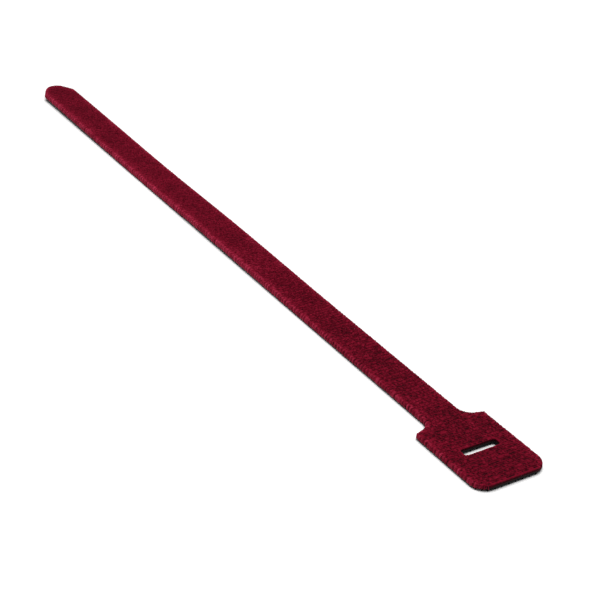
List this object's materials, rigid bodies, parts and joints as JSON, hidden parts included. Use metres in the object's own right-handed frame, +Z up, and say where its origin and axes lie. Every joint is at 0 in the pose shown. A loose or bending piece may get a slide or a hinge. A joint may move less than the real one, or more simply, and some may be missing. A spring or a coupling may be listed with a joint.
{
  "type": "hook and loop cable tie",
  "caption": "Flat reusable cable tie: a long strap with a bullet-shaped tip and a wider slotted head, loop fabric on top and moulded hooks underneath.",
  "frame": {"origin": "below the middle of the tie, on the surface that it lies on", "axes": "+X along the tie towards its slotted head, +Y across it, +Z up through the loop side"},
  "size_m": [0.3048, 0.0254, 0.0028],
  "materials": {
    "burgundy_loop_fabric": "brushed knit with rows of short pile across the tie",
    "black_moulded_hooks": "satin moulded film with rows of small hooks"
  },
  "bodies": {
    "root": {"loop_fabric": "burgundy_loop_fabric", "hook_tape": "black_moulded_hooks"}
  },
  "joints": []
}
